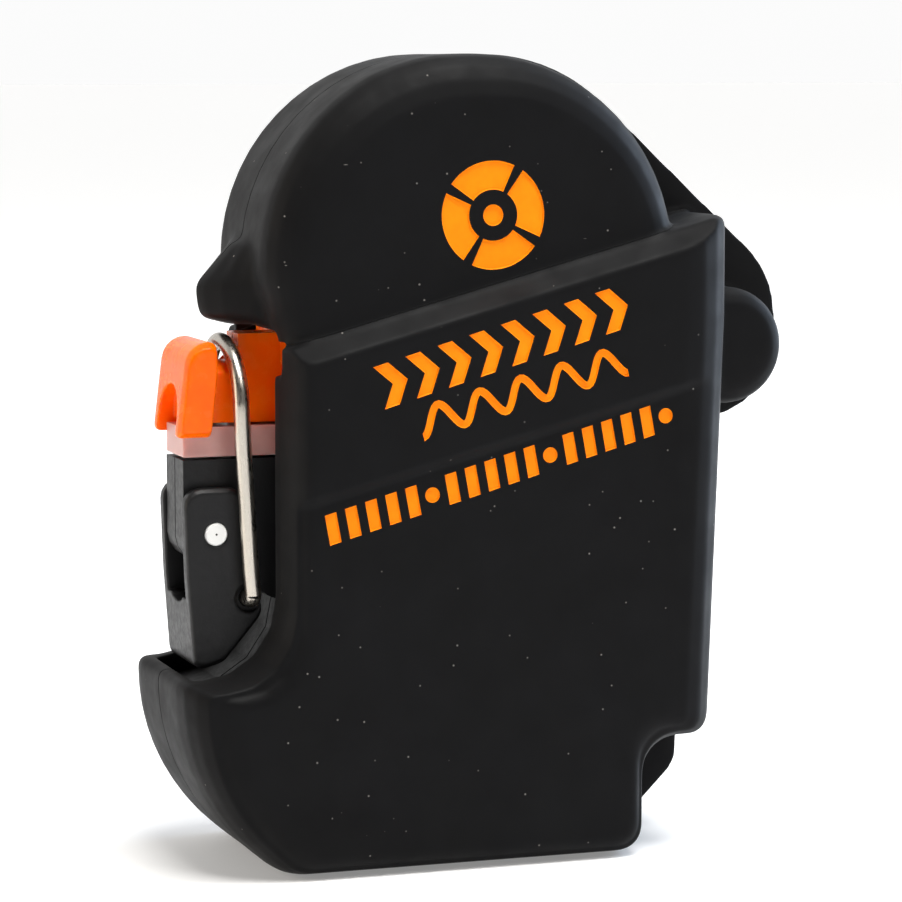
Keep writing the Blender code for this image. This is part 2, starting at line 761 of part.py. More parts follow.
def cap_catch():
    """The hook that the wire pulls down: a neck with a rounded saddle and two legs."""
    half = RIDGE_HALF
    neck = prism(
        "cap_catch", rounded([
            (-34.6, CAP_FOOT + SEAM, 0.4), (-28.75, CAP_FOOT + SEAM, 0.4),
            (-28.75, BAIL_TOP, 0.5), (-34.6, BAIL_TOP, 0.4),
        ]), -half, half, ORANGE,
    )
    lowest = ARCH_Z - WIRE_DIP
    bearing = BAIL_HALF - WIRE_R - GAP
    arch = [
        (bearing * math.cos(math.pi * k / 16), lowest + bearing * math.sin(math.pi * k / 16))
        for k in range(17)
    ]
    cut(neck, side_prism(
        "neck_top", arch + [(-bearing, BAIL_TOP + 5), (bearing, BAIL_TOP + 5)], -40.0, -20.0,
    ))
    hood = rounded([
        (-37.0, 53.4, 0.5), (-32.7, 53.4, 0.5), (-31.85, 61.0, 3.0), (-31.85, 65.0, 1.6),
        (-35.6, 65.0, 4.6),
    ], 5)
    tapered = blend(hood, [(-34.2, 59.0)] * len(hood), 0.12)
    join(neck, loft("saddle", [
        (tapered, -half - 2.7), (hood, -half - 1.6), (hood, half + 1.6), (tapered, half + 2.7),
    ], group=CUTTERS))
    half += GAP
    recess = rounded([
        (-half, 45.0, 0.3), (half, 45.0, 0.3), (half, 59.6, 3.9), (-half, 59.6, 3.9),
    ], 5)
    cut(neck, side_prism("arched_recess", recess, -40.0, -34.6))
    return cut(neck, side_prism(
        "legs_gap", box_outline(-half, 45.0, half, CAP_FOOT + SEAM), -40.0, -28.0,
    ))


def side_prism(name, outline, x0, x1, look=None, group=CUTTERS):
    """A prism along x, from an outline of (y, z)."""
    body = bmesh.new()
    rings = [
        [body.verts.new((x * MM, y * MM, z * MM)) for y, z in outline] for x in (x0, x1)
    ]
    count = len(outline)
    for k in range(count):
        m = (k + 1) % count
        body.faces.new((rings[0][k], rings[0][m], rings[1][m], rings[1][k]))
    body.faces.new(rings[0][::-1])
    body.faces.new(rings[1])
    return finished(name, body, look, group)


def hinge_parts():
    """The pin is pressed into the case knuckle, and the cap's arm turns on it in a bushing."""
    hx, hz = HINGE
    head = FIN_TOP - CASE_AT - PIN_HEAD
    turned(
        "hinge_pin", "Y",
        [(0, head + 0.9), (2.6, head + 0.9), (2.9, head + 0.6), (2.9, head), (PIN_R, head),
         (PIN_R, -5.2), (0, -5.2)],
        STEEL, steps=24, at=(hx, 0, hz),
    )
    inner, outer = PIN_R + RUNNING, PIN_R + 1.1
    turned(
        "hinge_bushing", "Y",
        [(inner, head - GAP), (outer, head - GAP), (outer, GAP), (inner, GAP),
         (inner, head - GAP)],
        WHITE, steps=24, at=(hx, 0, hz),
    )


def hinge_bore():
    """The stepped hole in the cap's arm for the bushing and the head of the pin."""
    hx, hz = HINGE
    step = FIN_TOP - CASE_AT - PIN_HEAD - GAP
    return turned(
        "pin_bore", "Y",
        [(0, 14.0), (3.2, 14.0), (3.2, step), (PIN_R + 1.1 + SEAM, step),
         (PIN_R + 1.1 + SEAM, -2.0), (0, -2.0)],
        group=CUTTERS, at=(hx, 0, hz),
    )


# Latch

def latch_lever():
    outline = rounded([
        (-36.3, 47.2, 2.2), (-35.9, 36.0, 30.0), (-35.1, LEVER_TIP, 1.2),
        (-31.4, LEVER_TIP + 1.0, 2.5), (-26.4, 31.6, 2.4), (-26.9, 35.6, 1.6),
        (-29.2, 47.2, 1.6),
    ])
    lever = loft("latch_lever", [
        (blend(outline, [(-32.0, 37.0)] * len(outline), 0.05), -LEVER_HALF),
        (outline, -LEVER_HALF + 0.5), (outline, LEVER_HALF - 0.5),
        (blend(outline, [(-32.0, 37.0)] * len(outline), 0.05), LEVER_HALF),
    ], PLASTIC)
    half = RIDGE_HALF + GAP
    slot = rounded([
        (-half, 32.8, 3.9), (half, 32.8, 3.9), (half, 60.0, 0.4), (-half, 60.0, 0.4),
    ])
    relief = rounded([
        (-45.0, 50.0, 0.3), (-45.0, 34.6, 0.3), (-32.0, 33.2, 3.0), (-20.0, 33.2, 0.3),
        (-20.0, 50.0, 0.3),
    ])
    cut(lever, side_prism("lever_slot", slot, -46.0, -30.0))
    cut(lever, prism("lever_relief", relief, -half, half, group=CUTTERS))
    px, pz = PIVOT
    cut(lever, rod("lever_bore", LATCH_PIN_R + RUNNING, 20.0, (px, -10.0, pz), group=CUTTERS, steps=24))
    bx, bz = BAIL_AT
    for side in (-1, 1):
        start = LEVER_HALF - 0.7 if side > 0 else -LEVER_HALF - 2.0
        cut(lever, rod(f"bail_recess_{side}", 1.75, 2.7, (bx, start, bz), group=CUTTERS, steps=24))
    cut(lever, rod("bail_bore", WIRE_R + RUNNING, 20.0, (bx, -10.0, bz), group=CUTTERS, steps=24))
    return lever


def latch_pin():
    px, pz = PIVOT
    half, r = LEVER_HALF + 0.05, LATCH_PIN_R
    return turned(
        "latch_pin", "Y",
        [(0, half), (r - 0.15, half), (r, half - 0.2), (r, 0.2 - half), (r - 0.15, -half),
         (0, -half)],
        WHITE, steps=24, at=(px, 0, pz),
    )


def bail_wire():
    """One bent wire: two arms and an arch over the neck of the catch, ends turned inwards."""
    bx, bz = BAIL_AT
    top_x = -30.35
    path = [(bx, -5.0, bz), (bx, -7.1, bz)]
    for k in range(1, 5):
        angle = math.radians(90 * k / 4)
        path.append((bx, -7.1 - 0.9 * math.sin(angle), bz + 0.9 * (1 - math.cos(angle))))
    path.append((-29.2, -BAIL_HALF, 46.0))
    for k in range(0, 8):
        angle = math.pi / 2 * k / 7
        lean = 0.5 - 0.5 * math.cos(angle)
        x = -29.9 + (top_x + 29.9) * lean
        path.append((x, -BAIL_HALF * math.cos(angle), ARCH_Z + BAIL_HALF * math.sin(angle)))
    mirrored = [(x, -y, z) for x, y, z in path[:-1][::-1]]
    return wire("bail_wire", path + mirrored, WIRE_R, STEEL)


def wire(name, path, radius, look):
    """A round wire along a path, made a mesh so that it is one closed body."""
    curve = bpy.data.curves.new(name, "CURVE")
    curve.dimensions = "3D"
    curve.bevel_depth = radius * MM
    curve.bevel_resolution = 2
    curve.use_fill_caps = True
    spline = curve.splines.new("POLY")
    spline.points.add(len(path) - 1)
    for point, (x, y, z) in zip(spline.points, path):
        point.co = (x * MM, y * MM, z * MM, 1.0)
    guide = bpy.data.objects.new(name + "_path", curve)
    CUTTERS.objects.link(guide)
    bpy.context.view_layer.update()
    graph = bpy.context.evaluated_depsgraph_get()
    mesh = bpy.data.meshes.new_from_object(guide.evaluated_get(graph))
    mesh.name = name
    body = bmesh.new()
    body.from_mesh(mesh)
    bmesh.ops.remove_doubles(body, verts=body.verts, dist=1e-6)
    bmesh.ops.recalc_face_normals(body, faces=body.faces[:])
    body.to_mesh(mesh)
    body.free()
    mesh.materials.clear()
    made = new_object(name, mesh, look)
    bpy.data.objects.remove(guide)
    return made


# Inside the case

def battery():
    top = CELL_Z + CELL_LONG
    for tag, x in zip(("left", "right"), CELLS_X):
        turned(
            f"battery_cell_{tag}", "Z",
            [(0, CELL_LONG), (2.6, CELL_LONG), (2.6, CELL_LONG - 0.8), (CELL_R - 0.3, CELL_LONG - 0.8),
             (CELL_R, CELL_LONG - 1.3), (CELL_R, 0.4), (CELL_R - 0.4, 0), (0, 0)],
            CELL, at=(x, -1.6, CELL_Z),
        )
        turned(
            f"contact_spring_{tag}", "Z",
            [(0, 1.5), (2.0, 1.5), (3.4, 0.5), (3.6, 0), (0, 0)],
            BRASS, steps=20, at=(x, -1.6, CELL_Z - 1.8),
        )
    block("contact_bridge", (CELLS_X[0] - 4, -4.6, top + GAP), (CELLS_X[1] + 4, 1.4, top + 1.1), BRASS)
    cradle = block("battery_cradle", (-15.5, 4.6, 8.5), (13.3, 8.4, 36.0), PLASTIC)
    for i, x in enumerate(CELLS_X):
        cut(cradle, rod(f"cradle_cell_{i}", CELL_R + GAP, 60.0, (x, -1.6, 0.0), "Z", group=CUTTERS))
    return cradle


def electronics():
    wall = BODY_BACK - INSIDE_AT
    block("main_board", (-19.0, wall - 3.0, 12.0), (18.5, wall - 1.6, 42.0), BOARD)
    block("radio_shield", (-14.0, wall - 1.3, 24.0), (4.0, wall - 0.2, 38.0), STEEL, round_by=0.2)
    block("processor_chip", (7.0, wall - 1.3, 17.0), (15.0, wall - 0.3, 25.0), CHIP)
    block("gps_board", (-15.0, -7.0, 43.0), (5.0, 8.0, 44.0), BOARD)
    block("gps_patch_antenna", (-12.5, -5.8, 44.3), (-0.5, 6.2, 48.0), CERAMIC, round_by=0.3)
    turned(
        "speaker", "Y",
        [(0, 2.4), (3.4, 2.4), (5.0, 1.6), (5.0, 0.0), (0, 0)],
        CHIP, steps=24, at=(20.0, -9.5, 34.5),
    )


def deck():
    """The plate under the cap, with the buttons, the flash lamp and the coiled antenna."""
    right = HINGE[0] - TURN_R + CASE_AT - 5.0
    half = abs(DOME_FRONT) - CASE_AT - 2.4
    plate = plan_prism("deck_plate", [
        (-19.6, -6.4), (-18.4, -half), (right - 1.0, -half), (right, 1.0 - half), (right, half - 1.0),
        (right - 1.0, half), (-18.4, half), (-19.6, 6.4),
    ], DECK, DECK + 2.0, PLASTIC)
    top = DECK + 2.0
    for tag, x, radius, look in (
        ("distress", -13.2, 4.4, RED), ("test", -3.2, 2.4, YELLOW),
    ):
        turned(
            f"{tag}_button", "Z",
            [(0, 2.6), (radius - 0.8, 2.6), (radius - 0.2, 2.2), (radius, 1.6), (radius, -2.9),
             (0, -2.9)],
            look, steps=24, at=(x, 0, top + 1.6),
        )
        turned(
            f"{tag}_collar", "Z",
            [(radius + GAP, 1.2), (radius + 1.2, 1.2), (radius + 1.4, 0), (radius + GAP, 0),
             (radius + GAP, 1.2)],
            SEAL, steps=24, at=(x, 0, top + GAP),
        )
        cut(plate, rod(f"{tag}_hole", radius + GAP, 9.0, (x, 0, DECK - 3), "Z", group=CUTTERS))
    turned(
        "strobe_reflector", "Z", [(0, 1.2), (3.6, 1.2), (3.6, 0), (0, 0)],
        STEEL, steps=24, at=(4.9, 0, top + GAP),
    )
    turned(
        "strobe_lens", "Z",
        [(0, 5.2), (1.5, 4.9), (2.7, 4.0), (3.3, 2.6), (3.5, 0), (0, 0)],
        CLEAR, steps=24, at=(4.9, 0, top + 1.2 + 2 * GAP),
    )
    return top


def button_flap(top):
    """A guard over the distress button, hinged on a rod at the back of the deck."""
    low = top + 5.4
    flap = block("button_flap", (-18.6, -6.2, low), (-8.0, 6.55, low + 1.2), CLEAR, round_by=0.3)
    pin_y, pin_z = FLAP_PIN_Y, low + 0.6
    barrel = side_prism("flap_barrel", circle((pin_y, pin_z), 1.15, 20), -16.8, -9.8)
    join(flap, barrel)
    cut(flap, side_prism("flap_bore", circle((pin_y, pin_z), 0.65, 20), -20.0, -6.0))
    side_prism("flap_rod", circle((pin_y, pin_z), 0.45, 16), -18.4, -8.2, STEEL, MADE)
    for tag, x in (("left", -18.2), ("right", -9.4)):
        cheek = rounded([
            (pin_y - 0.85, top + GAP, 0.1), (pin_y + 0.85, top + GAP, 0.1),
            (pin_y + 0.85, pin_z + 0.85, 0.8), (pin_y - 0.85, pin_z + 0.85, 0.8),
        ])
        bracket = side_prism(f"flap_bracket_{tag}", cheek, x, x + 1.0, PLASTIC, MADE)
        bore = circle((pin_y, pin_z), 0.5, 16)
        cut(bracket, side_prism(f"flap_bracket_bore_{tag}", bore, x - 2, x + 3))
    return flap


def antenna(top):
    """A flat steel tape wound on a hub. It is let go by hand once the cap is open."""
    x, z = 3.0, 74.5
    post = block("antenna_post", (9.6, -3.0, top + GAP), (12.6, 3.0, 62.6), PLASTIC, round_by=0.3)
    hub = turned(
        "antenna_hub", "Y",
        [(0, 4.6), (3.4, 4.6), (3.4, -4.6), (0, -4.6)],
        PLASTIC, at=(x, 0, z),
    )
    turned(
        "antenna_coil", "Y",
        [(3.8, 4.2), (9.4, 4.2), (9.4, -4.2), (3.8, -4.2), (3.8, 4.2)],
        STEEL, steps=32, at=(x, 0, z),
    )
    carrier = prism("antenna_carrier", rounded([
        (8.2, 63.0, 1.0), (13.6, 63.0, 1.0), (13.6, 74.0, 3.0), (4.0, 80.0, 3.5),
        (-1.6, 76.0, 3.5), (-1.0, 71.0, 3.0),
    ]), 5.0, 6.6, PLASTIC)
    foot = block("carrier_foot", (9.6, -3.0, 63.0), (12.6, 5.4, 64.4), group=CUTTERS)
    join(carrier, foot)
    return post, hub, carrier


def screws():
    for tag, places, flat in (
        ("case", CASE_SCREWS, BODY_BACK), ("cap", CAP_SCREWS, DOME_BACK),
    ):
        reach = flat - CASE_AT - 0.6
        for i, (x, z) in enumerate(places):
            head = reach - 3.0 + GAP
            turned(
                f"{tag}_screw_{i + 1}", "Y",
                [(0, head + 1.4), (2.0, head + 1.4), (2.1, head), (1.05, head), (1.05, -5.0),
                 (0, -5.0)],
                STEEL, steps=16, at=(x, 0, z),
            )


def hinge_origins():
    """Moves each moving piece's origin onto its joint's axis, leaving the piece in place."""
    for name, point in (
        ("latch_lever", (PIVOT[0], 0.0, PIVOT[1])),
        ("bail_wire", (BAIL_AT[0], 0.0, BAIL_AT[1])),
    ):
        piece = bpy.data.objects[name]
        shift = Vector([c * MM for c in point]) - piece.location
        piece.data.transform(Matrix.Translation(-shift))
        piece.location += shift
    swing = bpy.data.objects.new("cap_hinge_axis", None)
    swing.location = (HINGE[0] * MM, 0.0, HINGE[1] * MM)
    MADE.objects.link(swing)
    bpy.context.view_layer.update()
    for piece in MADE.objects:
        if piece.name.startswith(("pouch_hood", "cap_")) and piece is not swing:
            piece.parent = swing
            piece.matrix_parent_inverse = swing.matrix_world.inverted()


def main():
    clear_scene()
    for side in (-1, 1):
        pouch_body(side)
        pouch_hood(side)
        case_shell(side)
        cap_shell(side)
    gasket()
    cap_catch()
    hinge_parts()
    latch_lever()
    latch_pin()
    bail_wire()
    battery()
    electronics()
    top = deck()
    button_flap(top)
    antenna(top)
    screws()
    hinge_origins()


main()
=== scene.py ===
"""Looks of the emergency position beacon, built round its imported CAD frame.

Lengths are in millimetres and are turned into the frame's metres by MM. The beacon faces -Y,
its latch is on -X and its hinge on +X.
"""

import json
import math

import bmesh
import bpy
import numpy as np
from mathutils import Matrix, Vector


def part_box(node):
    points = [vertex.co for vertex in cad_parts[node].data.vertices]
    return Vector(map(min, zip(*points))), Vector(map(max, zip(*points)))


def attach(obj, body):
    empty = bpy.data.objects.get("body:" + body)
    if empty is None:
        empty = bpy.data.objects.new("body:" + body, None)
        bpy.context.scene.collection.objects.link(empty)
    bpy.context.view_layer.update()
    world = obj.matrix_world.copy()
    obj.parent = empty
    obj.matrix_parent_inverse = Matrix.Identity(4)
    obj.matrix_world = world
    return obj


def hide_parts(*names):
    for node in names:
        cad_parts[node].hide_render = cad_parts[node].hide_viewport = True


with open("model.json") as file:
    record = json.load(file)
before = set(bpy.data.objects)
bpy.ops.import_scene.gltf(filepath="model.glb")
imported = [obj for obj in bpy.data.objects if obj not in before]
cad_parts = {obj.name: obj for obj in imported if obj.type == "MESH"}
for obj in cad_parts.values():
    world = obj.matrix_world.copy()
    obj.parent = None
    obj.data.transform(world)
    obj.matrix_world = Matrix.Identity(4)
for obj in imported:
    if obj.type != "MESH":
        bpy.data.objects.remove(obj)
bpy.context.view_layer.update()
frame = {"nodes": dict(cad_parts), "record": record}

MM = 0.001
WELD = 0.002 * MM

# The parting between the pouch's body and its hood: a slanted line that runs into a circle
# round the hinge, as in the CAD part.
JOINTS = {joint["name"]: joint for joint in frame["record"]["behaviour"]["joints"]}
HINGE = (JOINTS["cap_hinge"]["pos_m"][0] / MM, JOINTS["cap_hinge"]["pos_m"][2] / MM)
SLANT = math.radians(15.1)
SLANT_AT = (-26.4, 64.5)
EYE_R = 9.9
EYE_FROM = math.radians(126.0)
SEAM_HALF = 0.11
SPLIT_HALF = 0.03

# Planes clear of the object, which bound the spaces that part the pouch
CLEAR_LEFT = -70.0
CLEAR_RIGHT = 80.0
CLEAR_BELOW = -20.0
CLEAR_ABOVE = 130.0
CLEAR_DEPTH = 40.0

# The front face: the step under the raised band, and its depth
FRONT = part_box("pouch_body_front")[0].y / MM
DOME_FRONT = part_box("pouch_hood_front")[0].y / MM
STEP_DEEP = 0.75
STEP_WIDE = 1.3
STEP_AT = (-26.1, 46.0)
STEP_SLOPE = math.tan(math.radians(14.7))
STEP_ENDS_FROM, STEP_ENDS_AT = 22.0, 29.5
STEP_SKIN_FULL, STEP_SKIN_NONE = 0.6, 2.0

# The sunk marks on the front: where each row starts, and how steeply the rows rise
LIFEBUOY_AT = (0.6, 80.2)
LIFEBUOY_TILT = math.radians(-1.0)
CHEVRONS_AT = (-14.2, 57.3)
WAVE_AT = (-9.2, 53.3)
SCALE_AT = (-20.9, 41.0)
ROW_RISE = math.radians(16.2)
WAVE_RISE = math.radians(14.9)
SCALE_RISE = math.radians(15.9)
CHEVRON_STEP = 4.22
TICK_STEP = 2.63

# An inlay lies a little under the surface, and its rim slopes down to its floor
INLAY_UNDER = 0.03
INLAY_THICK = 0.55
INLAY_RIM = 0.13
INLAY_DROP = 0.24
MARK_DEEP = 0.56

# The wire of the latch
WIRE_R = 1.0
WIRE_FOOT_FROM, WIRE_FOOT_TO = -5.0, -6.6
WIRE_BEND_AT = -7.1
WIRE_BEND_R = 0.9
WIRE_ARM_LOW = (-0.3, 38.0)
WIRE_ARM_MIDDLE = (-0.75, 46.0)
WIRE_ARM_TOP = (-29.3, 52.0)
WIRE_SHOULDER_X = -29.5
WIRE_TOP_X = -30.35

# How finely soft moulded pieces are meshed
SKIN_VOXEL = 0.34
SKIN_ROUNDS = 16
SKIN_GROW = 0.24
DETAIL_VOXEL = 0.13


# Meshes

def new_object(name, mesh):
    made = bpy.data.objects.new(name, mesh)
    bpy.context.scene.collection.objects.link(made)
    return made


def from_bmesh(name, body):
    mesh = bpy.data.meshes.new(name)
    body.to_mesh(mesh)
    body.free()
    return new_object(name, mesh)


def applied(made):
    """Bakes the modifiers into the mesh."""
    graph = bpy.context.evaluated_depsgraph_get()
    mesh = bpy.data.meshes.new_from_object(made.evaluated_get(graph))
    made.modifiers.clear()
    made.data = mesh
    mesh.name = made.name
    return made


def cad_copy(name, nodes, fillers=()):
    """A welded copy of CAD nodes as one new object, together with filler pieces."""
    body = bmesh.new()
    for node in nodes:
        body.from_mesh(frame["nodes"][node].data)
    bmesh.ops.remove_doubles(body, verts=body.verts, dist=WELD)
    for filler in fillers:
        body.from_mesh(filler.data)
    discard(*fillers)
    return from_bmesh(name, body)


def moulded(name, nodes, voxel, rounds, grow=0.0, fillers=()):
    """Soft moulded shape of CAD nodes. Nodes closer than twice grow run into each other."""
    made = cad_copy(name, nodes, fillers)
    if grow:
        swell = made.modifiers.new("swell", "DISPLACE")
        swell.mid_level = 0.0
        swell.strength = grow * MM
    remesh = made.modifiers.new("remesh", "REMESH")
    remesh.mode = "VOXEL"
    remesh.voxel_size = voxel * MM
    smooth = made.modifiers.new("smooth", "SMOOTH")
    smooth.factor = 0.5
    smooth.iterations = rounds
    if grow:
        shrink = made.modifiers.new("shrink", "DISPLACE")
        shrink.mid_level = 0.0
        shrink.strength = -grow * MM
    return applied(made)


def boolean(made, cutter, operation):
    change = made.modifiers.new("boolean", "BOOLEAN")
    change.solver = "MANIFOLD"
    change.operation = operation
    change.object = cutter
    applied(made)
    return made


def discard(*objects):
    for unwanted in objects:
        bpy.data.objects.remove(unwanted)


def prism(name, outline, y0, y1):
    """A prism along y from an outline of (x, z)."""
    body = bmesh.new()
    near = [body.verts.new((x * MM, y0 * MM, z * MM)) for x, z in outline]
    far = [body.verts.new((x * MM, y1 * MM, z * MM)) for x, z in outline]
    body.faces.new(near)
    body.faces.new(far[::-1])
    for k in range(len(outline)):
        m = (k + 1) % len(outline)
        body.faces.new((near[m], near[k], far[k], far[m]))
    bmesh.ops.recalc_face_normals(body, faces=body.faces[:])
    return from_bmesh(name, body)


def shaded(made, look, degrees=35.0):
    """Smooth shading that keeps edges sharper than an angle, and one material."""
    made.data.materials.clear()
    made.data.materials.append(look)
    made.data.polygons.foreach_set("use_smooth", [True] * len(made.data.polygons))
    made.data.polygons.foreach_set("material_index", [0] * len(made.data.polygons))
    made.data.set_sharp_from_angle(angle=math.radians(degrees))
    made.data.update()
    return made


def placed(made, body, slot, *nodes):
    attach(made, body)
    if nodes:
        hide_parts(*nodes)
    return made


def smoothstep(low, high, values):
    t = np.clip((values - low) / (high - low), 0.0, 1.0)
    return t * t * (3.0 - 2.0 * t)


# Materials

class Look:
    """A material's node tree, with short ways to add the nodes used here."""

    def __init__(self, name, colour, rough, metal=0.0):
        self.material = bpy.data.materials.new(name)
        self.material.use_nodes = True
        self.tree = self.material.node_tree
        self.shader = self.tree.nodes["Principled BSDF"]
        self.place = self.tree.nodes.new("ShaderNodeTexCoord").outputs["Object"]
        self.set("Base Color", (*colour, 1.0))
        self.set("Roughness", rough)
        self.set("Metallic", metal)

    def set(self, socket, value):
        self.shader.inputs[socket].default_value = value
        return self

    def link(self, source, socket):
        target = self.shader.inputs[socket] if isinstance(socket, str) else socket
        self.tree.links.new(source, target)
        return self

    def scaled(self, x, y, z):
        """Object coordinates times a scale for each axis."""
        mapping = self.tree.nodes.new("ShaderNodeMapping")
        mapping.inputs["Scale"].default_value = (x, y, z)
        self.tree.links.new(self.place, mapping.inputs["Vector"])
        return mapping.outputs["Vector"]

    def noise(self, size_mm, detail=3.0, rough=0.55, stretch=(1.0, 1.0, 1.0)):
        node = self.tree.nodes.new("ShaderNodeTexNoise")
        self.tree.links.new(self.scaled(*stretch), node.inputs["Vector"])
        node.inputs["Scale"].default_value = 1.0 / (size_mm * MM)
        node.inputs["Detail"].default_value = detail
        node.inputs["Roughness"].default_value = rough
        return node.outputs["Fac"]

    def cells(self, size_mm, stretch=(1.0, 1.0, 1.0)):
        node = self.tree.nodes.new("ShaderNodeTexVoronoi")
        self.tree.links.new(self.scaled(*stretch), node.inputs["Vector"])
        node.inputs["Scale"].default_value = 1.0 / (size_mm * MM)
        return node

    def between(self, source, low, high, to_low=0.0, to_high=1.0):
        """A clamped map from one range to another."""
        node = self.tree.nodes.new("ShaderNodeMapRange")
        self.tree.links.new(source, node.inputs["Value"])
        for socket, value in zip(("From Min", "From Max", "To Min", "To Max"),
                                 (low, high, to_low, to_high)):
            node.inputs[socket].default_value = value
        return node.outputs["Result"]

    def times(self, first, second):
        node = self.tree.nodes.new("ShaderNodeMath")
        node.operation = "MULTIPLY"
        for socket, value in zip(node.inputs, (first, second)):
            if isinstance(value, (int, float)):
                socket.default_value = value
            else:
                self.tree.links.new(value, socket)
        return node.outputs[0]

    def mix(self, share, first, second):
        """A colour between two, where each is a colour or an output."""
        node = self.tree.nodes.new("ShaderNodeMix")
        node.data_type = "RGBA"
        self.tree.links.new(share, node.inputs["Factor"])
        sockets = [s for s in node.inputs if s.type == "RGBA"]
        for socket, value in zip(sockets, (first, second)):
            if isinstance(value, tuple):
                socket.default_value = (*value, 1.0)
            else:
                self.tree.links.new(value, socket)
        return [s for s in node.outputs if s.type == "RGBA"][0]

    def bump(self, height, distance_mm, strength=1.0, under=None):
        node = self.tree.nodes.new("ShaderNodeBump")
        node.inputs["Strength"].default_value = strength
        node.inputs["Distance"].default_value = distance_mm * MM
        self.tree.links.new(height, node.inputs["Height"])
        if under:
            self.tree.links.new(under, node.inputs["Normal"])
        self.tree.links.new(node.outputs["Normal"], self.shader.inputs["Normal"])
        return node.outputs["Normal"]


def silicone():
    """Matte black moulded silicone with a little dust and lint."""
    look = Look("silicone_black", (0.008, 0.008, 0.009), 0.6)
    cloud = look.noise(9.0, 3.0)
    tone = look.mix(cloud, (0.0026, 0.0025, 0.0026), (0.0048, 0.0049, 0.0056))
    dust = look.cells(2.3)
    speck = look.between(dust.outputs["Distance"], 0.065, 0.035)
    chosen = look.between(dust.outputs["Color"], 0.62, 0.66)
    lint = look.cells(4.2, (0.30, 1.0, 1.7))
    fibre = look.between(lint.outputs["Distance"], 0.028, 0.015)
    kept = look.between(lint.outputs["Color"], 0.58, 0.62)
    shown = look.tree.nodes.new("ShaderNodeMath")
    shown.operation = "MAXIMUM"
    look.tree.links.new(look.times(speck, chosen), shown.inputs[0])
    look.tree.links.new(look.times(fibre, kept), shown.inputs[1])
    look.link(look.mix(shown.outputs[0], tone, (0.16, 0.15, 0.14)), "Base Color")
    look.link(look.between(look.noise(5.0, 4.0), 0.35, 0.7, 0.52, 0.66), "Roughness")
    coarse = look.bump(look.noise(1.4, 2.0), 0.02, 0.5)
    look.bump(look.noise(0.16, 3.0), 0.008, 0.6, coarse)
    look.set("Specular IOR Level", 0.1)
    look.set("Sheen Weight", 0.035)
    look.set("Sheen Roughness", 0.35)
    return look.material


def grained_black(name="plastic_black", grain=0.35, rough=0.42):
    """Spark-grained satin black plastic."""
    look = Look(name, (0.012, 0.012, 0.013), rough)
    tone = look.mix(look.noise(6.0), (0.006, 0.006, 0.006), (0.011, 0.011, 0.012))
    look.link(tone, "Base Color")
    look.link(look.between(look.noise(0.8, 3.0), 0.3, 0.7, rough - 0.05, rough + 0.09), "Roughness")
    under = look.bump(look.noise(grain * 2.2, 2.0), 0.03, 0.35)
    look.bump(look.cells(grain).outputs["Distance"], 0.03, 0.35, under)
    look.set("Specular IOR Level", 0.22)
    return look.material


def translucent_orange():
    """Glossy fluorescent orange plastic that light gets into."""
    look = Look("plastic_orange", (1.0, 0.13, 0.0), 0.24)
    tone = look.mix(look.noise(4.0, 2.0), (0.98, 0.105, 0.0), (1.0, 0.165, 0.0))
    look.link(tone, "Base Color")
    look.link(look.between(look.noise(2.0, 4.0), 0.3, 0.75, 0.18, 0.33), "Roughness")
    look.set("Subsurface Weight", 0.6)
    look.set("Subsurface Radius", (1.0, 0.3, 0.02))
    look.set("Subsurface Scale", 1.6 * MM)
    look.set("Specular IOR Level", 0.16)
    look.bump(look.noise(1.1, 2.0), 0.015, 0.4)
    return look.material


def milky_seal():
    # The pinkish colour is painted light: the seal itself is milky, and the pink stands in for
    # orange light from the cap glowing through it.
    look = Look("seal_milky", (0.50, 0.27, 0.25), 0.36)
    tone = look.mix(look.noise(3.0, 3.0), (0.44, 0.22, 0.20), (0.58, 0.34, 0.31))
    look.link(tone, "Base Color")
    look.link(look.between(look.noise(1.5), 0.3, 0.7, 0.3, 0.42), "Roughness")
    look.set("Subsurface Weight", 0.8)
    look.set("Subsurface Radius", (1.0, 0.55, 0.45))
    look.set("Subsurface Scale", 1.8 * MM)
    look.bump(look.noise(0.5), 0.01, 0.4)
    return look.material


def drawn_steel():
    """Stainless wire with fine lines along its length."""
    look = Look("steel", (0.50, 0.46, 0.40), 0.3, 1.0)
    lines = look.noise(0.3, 2.0, 0.5, (1.0, 1.0, 0.12))
    look.link(look.mix(lines, (0.42, 0.385, 0.335), (0.58, 0.54, 0.48)), "Base Color")
    look.link(look.between(lines, 0.3, 0.7, 0.24, 0.36), "Roughness")
    look.bump(look.noise(0.9, 2.0), 0.004, 0.3)
    return look.material


def plain_plastic(name, colour, rough, shift=0.12, bump=0.01):
    """Moulded plastic in one colour with slight cloudiness and a fine surface."""
    dark = tuple(c * (1.0 - shift) for c in colour)
    light = tuple(min(1.0, c * (1.0 + shift)) for c in colour)
    look = Look(name, colour, rough)
    look.link(look.mix(look.noise(3.5, 3.0), dark, light), "Base Color")
    look.link(look.between(look.noise(1.2, 3.0), 0.3, 0.7, rough - 0.05, rough + 0.06), "Roughness")
    look.bump(look.noise(0.3, 3.0), bump, 0.5)
    return look.material


def inlay_orange():
    """Opaque orange ink that fills the sunk marks."""
    look = Look("mark_orange", (1.0, 0.25, 0.0), 0.5)
    look.link(look.mix(look.noise(1.6, 4.0), (0.95, 0.215, 0.0), (1.0, 0.30, 0.003)), "Base Color")
    look.set("Specular IOR Level", 0.1)
    look.link(look.between(look.noise(0.6, 3.0), 0.3, 0.7, 0.42, 0.58), "Roughness")
    look.set("Subsurface Weight", 0.15)
    look.set("Subsurface Scale", 0.4 * MM)
    look.bump(look.noise(0.22, 3.0), 0.02, 0.5)
    return look.material


